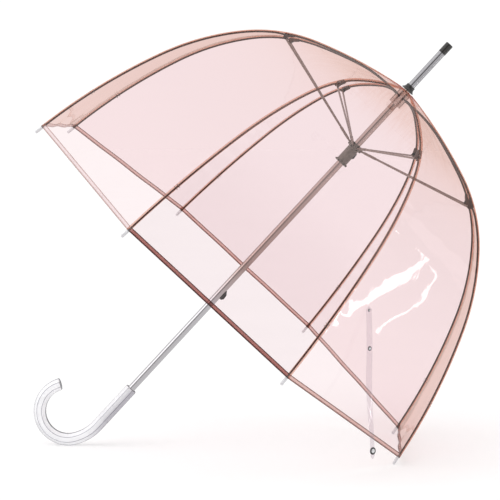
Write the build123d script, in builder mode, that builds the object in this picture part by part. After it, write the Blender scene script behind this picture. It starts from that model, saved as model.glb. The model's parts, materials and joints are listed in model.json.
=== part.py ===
from build123d import *
from math import asin, atan2, cos, degrees, hypot, radians, sin, sqrt
import os

# Clear dome umbrella, open, lying on its hooked handle and two rib tips.
# Every piece is drawn about the shaft: +Z runs along the shaft to the ferrule tip, +X points to
# the side that rests on the floor, and the ribs stand in eight planes around the shaft.
# At the end everything is turned into the resting stance, with the floor at Z = 0.

# Driving dimensions, in millimetres and degrees.
RIB_COUNT = 8
PANEL_ANGLE = 360 / RIB_COUNT
HALF_PANEL = PANEL_ANGLE / 2

# Dome outline in a rib's plane: tangent arcs (radius, turn) from the apex down to the rim.
APEX_Z = 336
APEX_SLOPE = 7.4
UPPER_ARCS = [(820, 12.2), (261, 11.4)]
LOWER_ARCS = [(261, 16.2), (392, 19.1), (903, 13.7)]
FILM = 0.4
SEAM_GAP = 0.3
CENTRE_FILM_RADIUS = 15.2
PANEL_STATION_TURN = 3
CENTRE_SLOPE_STEP = 0.9
CENTRE_FILM_SLOPE = 7.9
CENTRE_HOLE_ROOM = 0.5

# Ribs and stretchers.
RIB_RADIUS = 1.5
RIB_DEPTH = 2.6
ROD_EYE_RADIUS = 1.9
EYE_HALF_WIDTH = 1.3
EYE_HOLE_RADIUS = 0.75
FLEX_DEPTH = 4.1
STRETCHER_DEPTH = 8.4
RIB_ROOT_SLOPE = 14.5
RIB_LEAD_SLOPE = 5
TIP_LENGTH = 14
TIP_RADIUS = 2.4
TIP_NOSE_FLAT = 0.3
TIP_OVERLAP = 9
TIP_GAP = 0.6
CONNECTOR_RADIUS = 2.6
CONNECTOR_HALF_WIDTH = 2.9
FORK_HALF_GAP = 1.7
CHEEK_THICKNESS = 1.1
# Outlines beside the joint: distance along the rib towards the rim, and depth below the film.
CONNECTOR_OUTLINE = [(-15, 1.5), (-3.2, 1.5), (-3.2, 6.6), (-11, 5.6), (-15, 4.4)]
CHEEK_OUTLINE = [(-6, 2.1), (0, 1.8), (2.4, 4.1), (2.4, 8.4), (-2.4, 8.4), (-6, 5.9)]
PIN_RADIUS = 0.7
SLEEVE_START = 8
SLEEVE_LENGTH = 22
SLEEVE_RADIUS = 2.0

# Shaft, ferrule and end pieces.
SHAFT_RADIUS = 6.0
SHAFT_BORE = 5.2
SHAFT_TOP = 341
SHAFT_BOTTOM = -392
PRESS_GAP = 0.03
FERRULE_RADIUS = 6.1
FERRULE_TOP = 417
FERRULE_SPIGOT_DEPTH = 25
FERRULE_NOSE_RADIUS = 4.6
FERRULE_NOSE_LENGTH = 13
FERRULE_NOSE_ROOM = 0.2
TIP_CAP_RADIUS = 6.5
TIP_CAP_TOP = 436
TIP_CAP_EDGE = 1.5
CAP_BOTTOM = 336.6
CAP_TOP = 346
CAP_FLARE_RADIUS = 11
CAP_NECK_RADIUS = 7.6
CAP_NECK_LENGTH = 2
CAP_LIP = 0.6

# Crown and runner, the two slotted hubs that the wires pass through.
CROWN_PIVOT_RADIUS = 9.5
CROWN_PIVOT_Z = 321
CROWN_RADIUS = 10.8
CROWN_BOTTOM = 306
CROWN_TOP = 332
CROWN_CORE_RADIUS = 7.2
HUB_EDGE = 0.8
RUNNER_PIVOT_RADIUS = 11.7
RUNNER_PIVOT_Z = 214
RUNNER_BORE = 6.08
RUNNER_RADIUS = 9.4
RUNNER_RING_RADIUS = 13.2
RUNNER_BOTTOM = 179
RUNNER_TOP = 219
RUNNER_RING_HEIGHT = 9.5
FLANGE_RADIUS = 11.6
FLANGE_HEIGHT = 4
RUNNER_BEVEL = 1.5
RUNNER_TOP_EDGE = 1
SLOT_WIDTH = 3.4
NOTCH_WIDTH = 4.6
RUNNER_CUT = 8
WIRE_RADIUS = 0.55
WIRE_GROOVE = 0.6

# Spring catches that hold the runner open and closed.
CATCH_CENTRE_Z = 203
CATCH_HALF_WIDTH = 1.2
CATCH_EDGE = 0.8
# Nose outline: distance from the shaft's axis, and height above the catch's middle.
CATCH_OUTLINE = [(3, -8.6), (8.8, -8.6), (11.6, -5), (10.8, 2.5), (6.2, 8.6), (3, 8.6)]
CATCH_SLOT_HALF_WIDTH = 1.5
CATCH_SLOT_HALF_LENGTH = 10
WINDOW_HALF_WIDTH = 2.4
WINDOW_HALF_LENGTH = 9.8
CLOSED_JOINT_RADIUS = 17

# Hooked handle.
HANDLE_TOP = -322
HANDLE_BEND_Z = -404.5
HANDLE_EASE_RADIUS = 75
HANDLE_EASE_TURN = 34.5
HANDLE_ARC_RADIUS = 46
HANDLE_SWEEP = 213
HANDLE_FLATS = 19.5
HANDLE_EDGE = 1.2

# Closing strap: a flat strip fixed to one panel, and its press stud.
STRAP_WIDTH = 11
STRAP_THICKNESS = 0.5
STRAP_CORNER = 5
STRAP_LENGTH = 225
STRAP_SLOPE = 70.5
STRAP_SIDEWAYS = -91
STRAP_STANDS_OFF = 2.6
SNAP_RADIUS = 4.8
SNAP_HEIGHT = 1.6
SNAP_TAPER = 12
SNAP_DROP = 56
LAST_SNAP_DROP = 213
RIVET_RADIUS = 2.2
RIVET_HEAD = 0.8
RIVET_LENGTH = 1.3

SHRINK = cos(radians(HALF_PANEL))


def arc_table(arcs, start, slope):
    """Centre, radius and slope range of each tangent arc, starting at a point and slope."""
    table = []
    for radius, turn in arcs:
        normal = (sin(radians(slope)), cos(radians(slope)))
        centre = (start[0] - radius * normal[0], start[1] - radius * normal[1])
        slope_end = slope + turn
        table.append((centre, radius, slope, slope_end))
        start = (
            centre[0] + radius * sin(radians(slope_end)),
            centre[1] + radius * cos(radians(slope_end)),
        )
        slope = slope_end
    return table


DOME_ARCS = arc_table(UPPER_ARCS + LOWER_ARCS, (0, APEX_Z), APEX_SLOPE)
JOINT_SLOPE = APEX_SLOPE + sum(turn for radius, turn in UPPER_ARCS)
RIM_SLOPE = JOINT_SLOPE + sum(turn for radius, turn in LOWER_ARCS)


def dome_point(slope, depth=0):
    """Point in a rib's plane (distance from the shaft, height), a depth inside the film."""
    for centre, radius, slope_start, slope_end in DOME_ARCS:
        if slope <= slope_end + 1e-9:
            break
    angle = radians(slope)
    reach = radius - depth
    return (centre[0] + reach * sin(angle), centre[1] + reach * cos(angle))


def panel_point(slope, depth=0):
    """The same height halfway between two ribs, where the film is nearer the shaft."""
    r, z = dome_point(slope)
    angle = radians(slope)
    normal = (sin(angle), SHRINK * cos(angle))
    length = hypot(*normal)
    return (SHRINK * r - depth * normal[0] / length, z - depth * normal[1] / length)


def polar_point(radius, angle):
    return (radius * cos(radians(angle)), radius * sin(radians(angle)))


def radial_plane(angle):
    """Plane through the shaft: x is the distance from the shaft, y the height along it."""
    c, s = polar_point(1, angle)
    return Plane(origin=(0, 0, 0), x_dir=(c, s, 0), z_dir=(s, -c, 0))


def rib_angle(number):
    return HALF_PANEL + PANEL_ANGLE * (number - 1)


def panel_angle(number):
    return PANEL_ANGLE * (number - 1)


# Linkage points in a rib's plane: rib root, flex joint in the rib, stretcher's two ends.
RIB_ROOT = (CROWN_PIVOT_RADIUS, CROWN_PIVOT_Z)
FLEX_POINT = dome_point(JOINT_SLOPE, FLEX_DEPTH)
STRETCHER_TOP = dome_point(JOINT_SLOPE, STRETCHER_DEPTH)
STRETCHER_FOOT = (RUNNER_PIVOT_RADIUS, RUNNER_PIVOT_Z)
UPPER_LINK = hypot(STRETCHER_TOP[0] - RIB_ROOT[0], STRETCHER_TOP[1] - RIB_ROOT[1])
LOWER_LINK = hypot(STRETCHER_TOP[0] - STRETCHER_FOOT[0], STRETCHER_TOP[1] - STRETCHER_FOOT[1])

# Closed, the stretcher's top end lies beside the shaft, and the runner has moved down.
closed_top_z = CROWN_PIVOT_Z - sqrt(UPPER_LINK**2 - (CLOSED_JOINT_RADIUS - RIB_ROOT[0]) ** 2)
CLOSED_TOP = (CLOSED_JOINT_RADIUS, closed_top_z)
closed_foot_z = closed_top_z - sqrt(LOWER_LINK**2 - (CLOSED_JOINT_RADIUS - STRETCHER_FOOT[0]) ** 2)
TRAVEL = RUNNER_PIVOT_Z - closed_foot_z


def rib_path_upper():
    """From the crown to the joint: a lead-in arc, then along the inside of the film."""
    lead_in_arc(RIB_ROOT, RIB_ROOT_SLOPE)
    film_arcs(RIB_ROOT_SLOPE, JOINT_SLOPE)


def rib_path_lower():
    """From the joint to inside the tip, past the rim."""
    lead_in_arc(FLEX_POINT, JOINT_SLOPE + RIB_LEAD_SLOPE)
    film_arcs(JOINT_SLOPE + RIB_LEAD_SLOPE, RIM_SLOPE)
    rim = dome_point(RIM_SLOPE, RIB_DEPTH)
    Line(rim, past_rim(TIP_OVERLAP))


def lead_in_arc(start, slope):
    """Arc from a pivot to the rib's line under the film, which it meets at a given slope."""
    end = dome_point(slope, RIB_DEPTH)
    normal = (sin(radians(slope)), cos(radians(slope)))
    back = (start[0] - end[0], start[1] - end[1])
    radius = -(back[0] ** 2 + back[1] ** 2) / (2 * (back[0] * normal[0] + back[1] * normal[1]))
    centre = (end[0] - radius * normal[0], end[1] - radius * normal[1])
    start_angle = degrees(atan2(start[1] - centre[1], start[0] - centre[0]))
    CenterArc(centre, radius, start_angle, 90 - slope - start_angle)


def past_rim(distance):
    """Point on the rib's line, straight on beyond the rim."""
    r, z = dome_point(RIM_SLOPE, RIB_DEPTH)
    angle = radians(RIM_SLOPE)
    return (r + distance * cos(angle), z - distance * sin(angle))


def film_arcs(slope_from, slope_to):
    """The dome's arcs between two slopes, at the ribs' depth inside the film."""
    for centre, radius, slope_start, slope_end in DOME_ARCS:
        first = max(slope_from, slope_start)
        last = min(slope_to, slope_end)
        if last - first > 0.01:
            CenterArc(centre, radius - RIB_DEPTH, 90 - first, first - last)


def beside_joint(along, depth):
    """Point near the rib joint: distance along the rib towards the rim, and depth below film."""
    r, z = dome_point(JOINT_SLOPE, depth)
    angle = radians(JOINT_SLOPE)
    return (r + along * cos(angle), z - along * sin(angle))


def make_rib_upper():
    """Rod from the crown, with the forked connector that holds lower rib and stretcher."""
    plane = radial_plane(0)
    with BuildPart() as rib:
        with BuildLine(plane) as path:
            rib_path_upper()
        rod_end = path.wires()[0]
        with BuildSketch(Plane(origin=rod_end @ 0, z_dir=rod_end % 0)):
            Circle(RIB_RADIUS)
        sweep(path=rod_end)
        # Eye on the crown's wire.
        with BuildSketch(plane):
            with Locations(RIB_ROOT):
                Circle(ROD_EYE_RADIUS)
        extrude(amount=EYE_HALF_WIDTH, both=True)
        # Connector block around the rod's end.
        with BuildSketch(plane):
            with BuildLine():
                Polyline(*[beside_joint(*spot) for spot in CONNECTOR_OUTLINE], close=True)
            make_face()
        extrude(amount=CONNECTOR_HALF_WIDTH, both=True)
        # Two cheeks that reach past the block.
        for side in (1, -1):
            with BuildSketch(plane.offset(side * FORK_HALF_GAP)):
                with Locations(FLEX_POINT, STRETCHER_TOP):
                    Circle(CONNECTOR_RADIUS)
                with BuildLine():
                    Polyline(*[beside_joint(*spot) for spot in CHEEK_OUTLINE], close=True)
                make_face()
            extrude(amount=side * CHEEK_THICKNESS)
        # Open the fork for the two eyes that turn in it.
        with BuildSketch(plane):
            with Locations(FLEX_POINT, STRETCHER_TOP):
                Circle(CONNECTOR_RADIUS)
        extrude(amount=FORK_HALF_GAP, both=True, mode=Mode.SUBTRACT)
        # Pins across the fork.
        with BuildSketch(plane):
            with Locations(FLEX_POINT, STRETCHER_TOP):
                Circle(PIN_RADIUS)
        extrude(amount=CONNECTOR_HALF_WIDTH, both=True)
        with BuildSketch(plane):
            with Locations(RIB_ROOT):
                Circle(EYE_HOLE_RADIUS)
        extrude(amount=2 * RIB_RADIUS, both=True, mode=Mode.SUBTRACT)
    return rib.part


def make_rib_lower():
    """Curved rod from the joint down to the rim, with an eye on the joint's pin."""
    plane = radial_plane(0)
    with BuildPart() as rib:
        with BuildLine(plane) as path:
            rib_path_lower()
        rod_end = path.wires()[0]
        with BuildSketch(Plane(origin=rod_end @ 0, z_dir=rod_end % 0)):
            Circle(RIB_RADIUS)
        sweep(path=rod_end)
        with BuildSketch(plane):
            with Locations(FLEX_POINT):
                Circle(ROD_EYE_RADIUS)
        extrude(amount=EYE_HALF_WIDTH, both=True)
        with BuildSketch(plane):
            with Locations(FLEX_POINT):
                Circle(EYE_HOLE_RADIUS)
        extrude(amount=2 * RIB_RADIUS, both=True, mode=Mode.SUBTRACT)
    return rib.part


def make_rib_tip():
    """Round-nosed clear plastic end, bored for the rib, just past the rim of the film."""
    start = past_rim(TIP_GAP)
    end = past_rim(TIP_LENGTH)
    axis_start = Vector(start[0], 0, start[1])
    axis_end = Vector(end[0], 0, end[1])
    base = Plane(origin=axis_start, z_dir=axis_end - axis_start)
    length = (axis_end - axis_start).length
    with BuildPart() as tip:
        with BuildSketch(base):
            Circle(TIP_RADIUS)
        extrude(amount=length)
        nose = tip.faces().sort_by(Axis(axis_start, axis_end - axis_start))[-1]
        fillet(nose.edges(), TIP_RADIUS - TIP_NOSE_FLAT)
        with BuildSketch(base):
            Circle(RIB_RADIUS + PRESS_GAP)
        extrude(amount=TIP_OVERLAP, mode=Mode.SUBTRACT)
    return tip.part


def make_stretcher():
    """Straight rod from the rib joint to the runner, an eye at each end and a foot sleeve."""
    plane = radial_plane(0)
    with BuildPart() as stretcher:
        with BuildLine(plane) as path:
            Line(STRETCHER_FOOT, STRETCHER_TOP)
        rod = path.wires()[0]
        with BuildSketch(Plane(origin=rod @ 0, z_dir=rod % 0)):
            Circle(RIB_RADIUS)
        extrude(amount=rod.length)
        sleeve_start = rod.position_at(SLEEVE_START, position_mode=PositionMode.LENGTH)
        with BuildSketch(Plane(origin=sleeve_start, z_dir=rod % 0)):
            Circle(SLEEVE_RADIUS)
        extrude(amount=SLEEVE_LENGTH)
        with BuildSketch(plane):
            with Locations(STRETCHER_FOOT, STRETCHER_TOP):
                Circle(ROD_EYE_RADIUS)
        extrude(amount=EYE_HALF_WIDTH, both=True)
        with BuildSketch(plane):
            with Locations(STRETCHER_FOOT, STRETCHER_TOP):
                Circle(EYE_HOLE_RADIUS)
        extrude(amount=2 * RIB_RADIUS, both=True, mode=Mode.SUBTRACT)
    return stretcher.part


def make_panel(slope_from, slope_to):
    """Film between two neighbouring ribs, straight across, curved from crown to rim."""
    plane = radial_plane(0)
    steps = round((slope_to - slope_from) / PANEL_STATION_TURN)
    slopes = [slope_from + (slope_to - slope_from) * i / steps for i in range(steps + 1)]
    outer = [panel_point(slope) for slope in slopes]
    inner = [panel_point(slope, FILM) for slope in slopes]
    headings = [(SHRINK * cos(radians(slope)), -sin(radians(slope))) for slope in slopes]
    away = [(-heading[0], -heading[1]) for heading in headings]
    with BuildPart() as panel:
        with BuildSketch(plane):
            with BuildLine():
                Spline(*outer, tangents=(headings[0], headings[-1]))
                Line(outer[-1], inner[-1])
                Spline(*reversed(inner), tangents=(away[-1], away[0]))
                Line(inner[0], outer[0])
            make_face()
        extrude(amount=outer[-1][0], both=True)
        for side in (1, -1):
            rib_plane_normal = polar_point(1, side * (HALF_PANEL + 90))
            shift = -SEAM_GAP / 2
            cut = Plane(
                origin=(shift * rib_plane_normal[0], shift * rib_plane_normal[1], 0),
                z_dir=(rib_plane_normal[0], rib_plane_normal[1], 0),
            )
            split(bisect_by=cut, keep=Keep.BOTTOM)
        if slope_from < RIB_ROOT_SLOPE:
            Cylinder(CENTRE_FILM_RADIUS + SEAM_GAP, 2 * APEX_Z, mode=Mode.SUBTRACT)
    return panel.part


def make_hub(outline):
    """Turned hub: an outline in the radial plane, revolved about the shaft."""
    with BuildPart() as hub:
        with BuildSketch(Plane.XZ):
            with BuildLine():
                Polyline(*outline, close=True)
            make_face()
        revolve(axis=Axis.Z)
    return hub.part


def make_catch(centre_z):
    """Flat spring nose that stands out of the shaft on the floor side."""
    with BuildPart() as catch:
        with BuildSketch(Plane.XZ):
            with BuildLine():
                Polyline(*[(x, centre_z + z) for x, z in CATCH_OUTLINE], close=True)
            make_face()
        extrude(amount=CATCH_HALF_WIDTH, both=True)
        edges = catch.edges().filter_by(Axis.Y).sort_by(Axis.X)[-3:]
        fillet(edges, CATCH_EDGE)
    return catch.part


pieces = {}

# Ribs, tips, stretchers and film panels: each is drawn once and repeated about the shaft.
half_gap = degrees(SEAM_GAP / 2 / UPPER_ARCS[-1][0])
rib_parts = {
    "rib_upper": make_rib_upper(),
    "rib_lower": make_rib_lower(),
    "rib_tip": make_rib_tip(),
    "stretcher": make_stretcher(),
}
panel_parts = {
    "panel_upper": make_panel(APEX_SLOPE + CENTRE_SLOPE_STEP, JOINT_SLOPE - half_gap),
    "panel_lower": make_panel(JOINT_SLOPE + half_gap, RIM_SLOPE),
}
for number in range(1, RIB_COUNT + 1):
    for name, part in rib_parts.items():
        pieces[f"{name}_{number}"] = part.rotate(Axis.Z, rib_angle(number))
    for name, part in panel_parts.items():
        pieces[f"{name}_{number}"] = part.rotate(Axis.Z, panel_angle(number))

# Centre of the film, held between crown and cap.
centre_fall = CENTRE_FILM_RADIUS * sin(radians(CENTRE_FILM_SLOPE))
hole_radius = SHAFT_RADIUS + CENTRE_HOLE_ROOM
hole_fall = hole_radius * sin(radians(CENTRE_FILM_SLOPE))
pieces["canopy_center"] = make_hub(
    [
        (hole_radius, APEX_Z - hole_fall),
        (CENTRE_FILM_RADIUS, APEX_Z - centre_fall),
        (CENTRE_FILM_RADIUS, APEX_Z - centre_fall - FILM),
        (hole_radius, APEX_Z - hole_fall - FILM),
    ]
)

# Shaft tube with a slot for each catch.
with BuildPart() as shaft_tube:
    with BuildSketch(Plane.XY.offset(SHAFT_BOTTOM)):
        Circle(SHAFT_RADIUS)
        Circle(SHAFT_BORE, mode=Mode.SUBTRACT)
    extrude(amount=SHAFT_TOP - SHAFT_BOTTOM)
    for catch_z in (CATCH_CENTRE_Z, CATCH_CENTRE_Z - TRAVEL):
        with BuildSketch(Plane.YZ):
            with Locations((0, catch_z)):
                SlotOverall(2 * CATCH_SLOT_HALF_LENGTH, 2 * CATCH_SLOT_HALF_WIDTH, rotation=90)
        extrude(amount=SHAFT_RADIUS + 1, mode=Mode.SUBTRACT)
pieces["shaft_tube"] = shaft_tube.part

# Ferrule: a rod that plugs into the shaft, with a thinner nose for the end cap.
pieces["ferrule"] = make_hub(
    [
        (0, SHAFT_TOP - FERRULE_SPIGOT_DEPTH),
        (SHAFT_BORE - PRESS_GAP, SHAFT_TOP - FERRULE_SPIGOT_DEPTH),
        (SHAFT_BORE - PRESS_GAP, SHAFT_TOP),
        (FERRULE_RADIUS, SHAFT_TOP),
        (FERRULE_RADIUS, FERRULE_TOP),
        (FERRULE_NOSE_RADIUS, FERRULE_TOP),
        (FERRULE_NOSE_RADIUS, FERRULE_TOP + FERRULE_NOSE_LENGTH),
        (0, FERRULE_TOP + FERRULE_NOSE_LENGTH),
    ]
)

# Black end cap on the ferrule's nose.
with BuildPart() as ferrule_cap:
    with BuildSketch(Plane.XY.offset(FERRULE_TOP)):
        Circle(TIP_CAP_RADIUS)
    extrude(amount=TIP_CAP_TOP - FERRULE_TOP)
    fillet(ferrule_cap.faces().sort_by(Axis.Z)[-1].edges(), TIP_CAP_EDGE)
    with BuildSketch(Plane.XY.offset(FERRULE_TOP)):
        Circle(FERRULE_NOSE_RADIUS + PRESS_GAP)
    extrude(amount=FERRULE_NOSE_LENGTH + FERRULE_NOSE_ROOM, mode=Mode.SUBTRACT)
pieces["ferrule_cap"] = ferrule_cap.part

# Flared cap that clamps the film from above.
with BuildPart() as canopy_cap:
    bore = FERRULE_RADIUS + PRESS_GAP
    lip_top = (CAP_FLARE_RADIUS, CAP_BOTTOM + CAP_LIP)
    lip_bottom = (CAP_FLARE_RADIUS, CAP_BOTTOM - CAP_LIP)
    neck = (CAP_NECK_RADIUS, CAP_TOP - CAP_NECK_LENGTH)
    with BuildSketch(Plane.XZ):
        with BuildLine():
            Polyline((bore, CAP_TOP), (bore, CAP_BOTTOM), lip_bottom)
            Line(lip_bottom, lip_top)
            TangentArc(neck, lip_top, tangent=(0, -1))
            Polyline(neck, (CAP_NECK_RADIUS, CAP_TOP), (bore, CAP_TOP))
        make_face()
    revolve(axis=Axis.Z)
pieces["canopy_cap"] = canopy_cap.part

# Crown: slotted hub on the shaft, with the wire ring that carries the ribs' eyes.
with BuildPart() as crown:
    with BuildSketch(Plane.XY.offset(CROWN_BOTTOM)):
        Circle(CROWN_RADIUS)
    extrude(amount=CROWN_TOP - CROWN_BOTTOM)
    fillet(crown.edges().filter_by(GeomType.CIRCLE), HUB_EDGE)
    for number in range(1, RIB_COUNT + 1):
        with BuildSketch(radial_plane(rib_angle(number))):
            with Locations((CROWN_RADIUS, CROWN_PIVOT_Z)):
                Rectangle(
                    2 * (CROWN_RADIUS - CROWN_CORE_RADIUS),
                    2 * (CROWN_PIVOT_Z - CROWN_BOTTOM + 1),
                )
        extrude(amount=SLOT_WIDTH / 2, both=True, mode=Mode.SUBTRACT)
    with BuildSketch(Plane.XY.offset(CROWN_BOTTOM)):
        Circle(SHAFT_RADIUS + PRESS_GAP)
    extrude(amount=CROWN_TOP - CROWN_BOTTOM, mode=Mode.SUBTRACT)
    with BuildSketch(Plane.XZ):
        with Locations(RIB_ROOT):
            Circle(WIRE_GROOVE)
    revolve(axis=Axis.Z, mode=Mode.SUBTRACT)

with BuildPart() as crown_wire:
    with BuildSketch(Plane.XZ):
        with Locations(RIB_ROOT):
            Circle(WIRE_RADIUS)
    revolve(axis=Axis.Z)
pieces["crown"] = Compound([*crown.part.solids(), *crown_wire.part.solids()])

# Runner: sliding sleeve with a slotted ring on top, a notched flange and a catch window.
with BuildPart() as runner:
    with BuildSketch(Plane.XZ):
        with BuildLine():
            Polyline(
                (RUNNER_BORE, RUNNER_BOTTOM),
                (FLANGE_RADIUS, RUNNER_BOTTOM),
                (FLANGE_RADIUS, RUNNER_BOTTOM + FLANGE_HEIGHT - RUNNER_BEVEL),
                (RUNNER_RADIUS, RUNNER_BOTTOM + FLANGE_HEIGHT),
                (RUNNER_RADIUS, RUNNER_TOP - RUNNER_RING_HEIGHT),
                (RUNNER_RING_RADIUS, RUNNER_TOP - RUNNER_RING_HEIGHT + RUNNER_BEVEL),
                (RUNNER_RING_RADIUS, RUNNER_TOP - RUNNER_TOP_EDGE),
                (RUNNER_RING_RADIUS - RUNNER_TOP_EDGE, RUNNER_TOP),
                (RUNNER_BORE, RUNNER_TOP),
                close=True,
            )
        make_face()
    revolve(axis=Axis.Z)
    for number in range(1, RIB_COUNT + 1):
        with BuildSketch(radial_plane(rib_angle(number))):
            with Locations((RUNNER_RADIUS, RUNNER_TOP - RUNNER_RING_HEIGHT - 1)):
                Rectangle(RUNNER_CUT, RUNNER_RING_HEIGHT + 4, align=(Align.MIN, Align.MIN))
        extrude(amount=SLOT_WIDTH / 2, both=True, mode=Mode.SUBTRACT)
        with BuildSketch(radial_plane(rib_angle(number))):
            with Locations((RUNNER_RADIUS, RUNNER_BOTTOM - 1)):
                Rectangle(RUNNER_CUT, FLANGE_HEIGHT + 3, align=(Align.MIN, Align.MIN))
        extrude(amount=NOTCH_WIDTH / 2, both=True, mode=Mode.SUBTRACT)
    with BuildSketch(Plane.YZ):
        with Locations((0, CATCH_CENTRE_Z)):
            Rectangle(2 * WINDOW_HALF_WIDTH, 2 * WINDOW_HALF_LENGTH)
    extrude(amount=2 * RUNNER_RADIUS, mode=Mode.SUBTRACT)
    with BuildSketch(Plane.XZ):
        with Locations(STRETCHER_FOOT):
            Circle(WIRE_GROOVE)
    revolve(axis=Axis.Z, mode=Mode.SUBTRACT)

with BuildPart() as runner_wire:
    with BuildSketch(Plane.XZ):
        with Locations(STRETCHER_FOOT):
            Circle(WIRE_RADIUS)
    revolve(axis=Axis.Z)
pieces["runner"] = Compound([*runner.part.solids(), *runner_wire.part.solids()])

# Two spring catches.
pieces["top_catch"] = make_catch(CATCH_CENTRE_Z)
pieces["bottom_catch"] = make_catch(CATCH_CENTRE_Z - TRAVEL)

# Centre of the hook's main arc, after the easier bend that leads into it.
ease_offset = HANDLE_EASE_RADIUS - HANDLE_ARC_RADIUS
ease_x, ease_z = polar_point(ease_offset, -HANDLE_EASE_TURN)
HOOK_CENTRE = (ease_x - HANDLE_EASE_RADIUS, HANDLE_BEND_Z + ease_z)

# Hooked handle: an eight-sided bar, straight and then bent, bored for the shaft.
with BuildPart() as handle:
    with BuildLine(Plane.XZ) as hook:
        Line((0, HANDLE_TOP), (0, HANDLE_BEND_Z))
        CenterArc((-HANDLE_EASE_RADIUS, HANDLE_BEND_Z), HANDLE_EASE_RADIUS, 0, -HANDLE_EASE_TURN)
        CenterArc(
            HOOK_CENTRE, HANDLE_ARC_RADIUS, -HANDLE_EASE_TURN, HANDLE_EASE_TURN - HANDLE_SWEEP
        )
    hook_path = hook.wires()[0]
    with BuildSketch(Plane(origin=(0, 0, HANDLE_TOP), x_dir=(1, 0, 0), z_dir=(0, 0, -1))):
        RegularPolygon(HANDLE_FLATS / 2, 8, major_radius=False, rotation=HALF_PANEL)
    sweep(path=hook_path)
    hook_end = hook_path @ 1
    end_faces = [
        handle.faces().sort_by(Axis.Z)[-1],
        handle.faces().sort_by_distance(hook_end)[0],
    ]
    chamfer([edge for face in end_faces for edge in face.edges()], HANDLE_EDGE)
    with BuildSketch(Plane.XY.offset(HANDLE_TOP)):
        Circle(SHAFT_RADIUS + PRESS_GAP)
    extrude(amount=SHAFT_BOTTOM - HANDLE_TOP, mode=Mode.SUBTRACT)
pieces["handle"] = handle.part

# Resting stance: the tips of ribs 1 and 8 and the outside of the hook touch the floor.
tip_rest = past_rim(TIP_LENGTH - TIP_RADIUS)
height_arm = tip_rest[1] - HOOK_CENTRE[1]
width_arm = tip_rest[0] * SHRINK - HOOK_CENTRE[0]
drop = TIP_RADIUS - HANDLE_ARC_RADIUS - HANDLE_FLATS / 2
STANCE_ANGLE = degrees(atan2(width_arm, height_arm) + asin(drop / hypot(width_arm, height_arm)))
lean_cos, lean_sin = polar_point(1, STANCE_ANGLE)
lean = Plane(origin=(0, 0, 0), x_dir=(lean_sin, 0, -lean_cos), z_dir=(lean_cos, 0, lean_sin))
tilt = Location(lean)

tilted_box = Compound([piece.moved(tilt) for piece in pieces.values()]).bounding_box()
shift = Location(
    (
        -(tilted_box.min.X + tilted_box.max.X) / 2,
        -(tilted_box.min.Y + tilted_box.max.Y) / 2,
        -tilted_box.min.Z,
    )
)
stance = shift * tilt


def off_strap_panel(height):
    """Where the strap hangs from, a height off its panel, in the resting stance."""
    r, z = panel_point(STRAP_SLOPE, -height)
    panel_plane = Plane.XY.rotated((0, 0, -PANEL_ANGLE))
    spot = panel_plane.from_local_coords(Vector(r, STRAP_SIDEWAYS, z))
    return (stance * Location(spot)).position


strap_top = off_strap_panel(STRAP_STANDS_OFF)
film_normal = (strap_top - off_strap_panel(0)).normalized()
facing = Vector(film_normal.X, film_normal.Y, 0).normalized()
across = Vector(-facing.Y, facing.X, 0)
strap_plane = Plane(origin=strap_top, x_dir=across, z_dir=facing)

# Closing strap: it hangs straight down outside the panel that faces forward and down.
# It faces the way that panel faces; a rivet at its top end stands against the film.
with BuildPart() as tie_strap:
    with BuildSketch(strap_plane):
        with Locations((0, STRAP_WIDTH / 2)):
            Rectangle(STRAP_WIDTH, STRAP_LENGTH, align=(Align.CENTER, Align.MAX))
    extrude(amount=STRAP_THICKNESS)
    corners = tie_strap.edges().filter_by(Axis(strap_top, facing))
    fillet(corners, STRAP_CORNER)

with BuildPart() as strap_snaps:
    for drop_below in (SNAP_DROP, LAST_SNAP_DROP):
        with BuildSketch(strap_plane.offset(STRAP_THICKNESS)):
            with Locations((0, -drop_below)):
                Circle(SNAP_RADIUS)
        extrude(amount=SNAP_HEIGHT, taper=SNAP_TAPER)
    with BuildSketch(strap_plane.offset(STRAP_THICKNESS)):
        Circle(RIVET_RADIUS)
    extrude(amount=RIVET_HEAD)
    with BuildSketch(strap_plane):
        Circle(RIVET_RADIUS)
    extrude(amount=-RIVET_LENGTH)

# Name each piece, set it in the resting stance and write it.
os.makedirs("parts", exist_ok=True)
standing = {name: piece.moved(stance) for name, piece in pieces.items()}
standing["tie_strap"] = tie_strap.part
standing["strap_snaps"] = strap_snaps.part
for name, part in standing.items():
    part.label = name
    export_step(part, f"parts/{name}.step")
print("stance", round(STANCE_ANGLE, 3), "travel", round(TRAVEL, 3))
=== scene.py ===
import json
from math import cos, degrees, exp, hypot, pi, radians, sin, sqrt

import bmesh
import bpy
from mathutils import Matrix, Vector


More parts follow.
